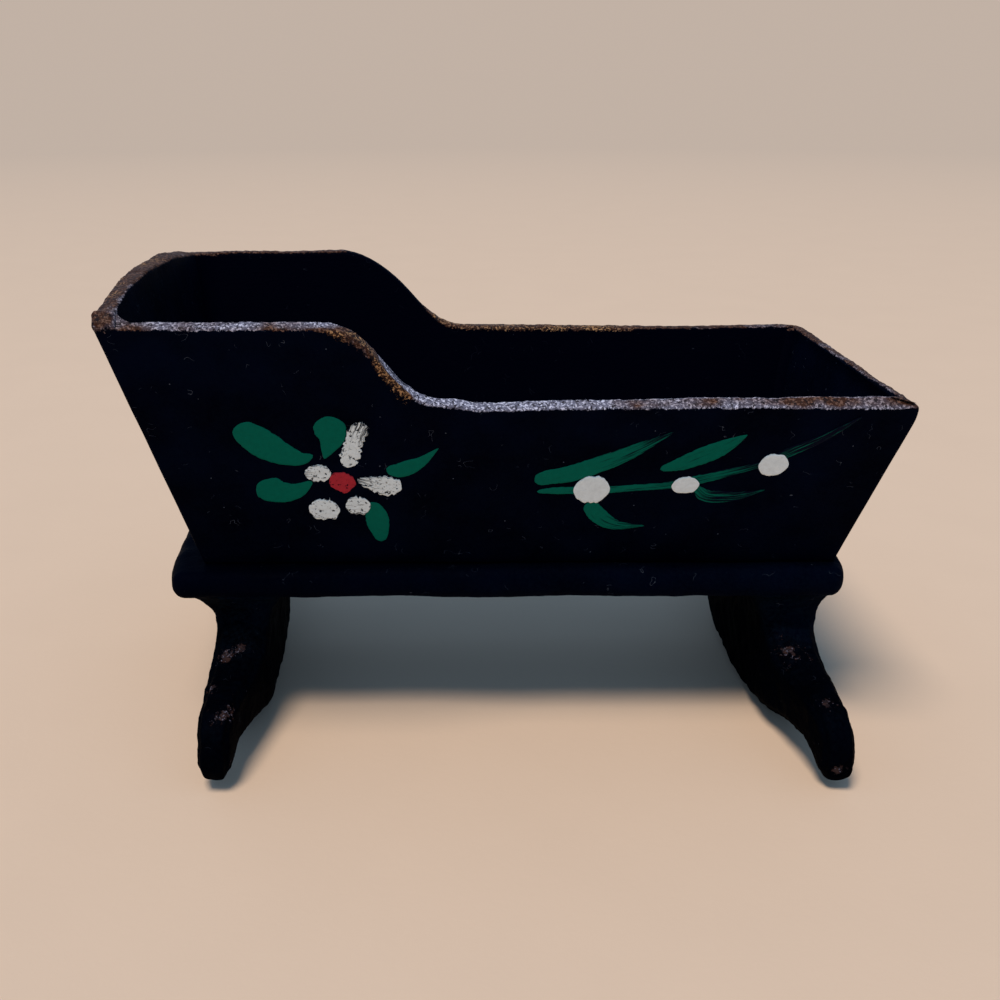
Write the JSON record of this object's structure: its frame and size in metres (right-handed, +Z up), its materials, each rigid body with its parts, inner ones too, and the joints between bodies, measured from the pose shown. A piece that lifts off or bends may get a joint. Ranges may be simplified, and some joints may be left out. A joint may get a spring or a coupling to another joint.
{
  "type": "dollhouse cradle",
  "caption": "Dollhouse cradle: open flared tub with a raised head end and stepped sides, on a wider base board carried by two cross rockers.",
  "frame": {"origin": "under the middle of the tub's rim, on the surface that the rockers stand on", "axes": "+X from the head end to the foot end, +Y from the decorated front side to the back side, +Z up"},
  "size_m": [0.0766, 0.0502, 0.0489],
  "materials": {
    "painted_board": "thin wood board under brushed blue-black enamel, satin, rubbed through to brown wood along the rim",
    "painted_base": "wood board under brushed blue-black enamel, satin, rounded edges",
    "painted_rocker": "hand-carved wood under thick blue-black enamel, uneven, chipped to brown wood on the arms",
    "pin_wire": "drawn wire, painted over where the head shows"
  },
  "bodies": {
    "root": {"front_side": "painted_board", "back_side": "painted_board", "head_panel": "painted_board", "foot_panel": "painted_board", "base_board": "painted_base", "head_rocker": "painted_rocker", "foot_rocker": "painted_rocker", "front_head_pin_lower": "pin_wire", "front_head_pin_upper": "pin_wire", "front_foot_pin_lower": "pin_wire", "front_foot_pin_upper": "pin_wire", "back_head_pin_lower": "pin_wire", "back_head_pin_upper": "pin_wire", "back_foot_pin_lower": "pin_wire", "back_foot_pin_upper": "pin_wire", "head_panel_pin_front": "pin_wire", "head_panel_pin_back": "pin_wire", "foot_panel_pin_front": "pin_wire", "foot_panel_pin_back": "pin_wire", "head_rocker_pin_front": "pin_wire", "head_rocker_pin_back": "pin_wire", "foot_rocker_pin_front": "pin_wire", "foot_rocker_pin_back": "pin_wire"}
  },
  "joints": []
}
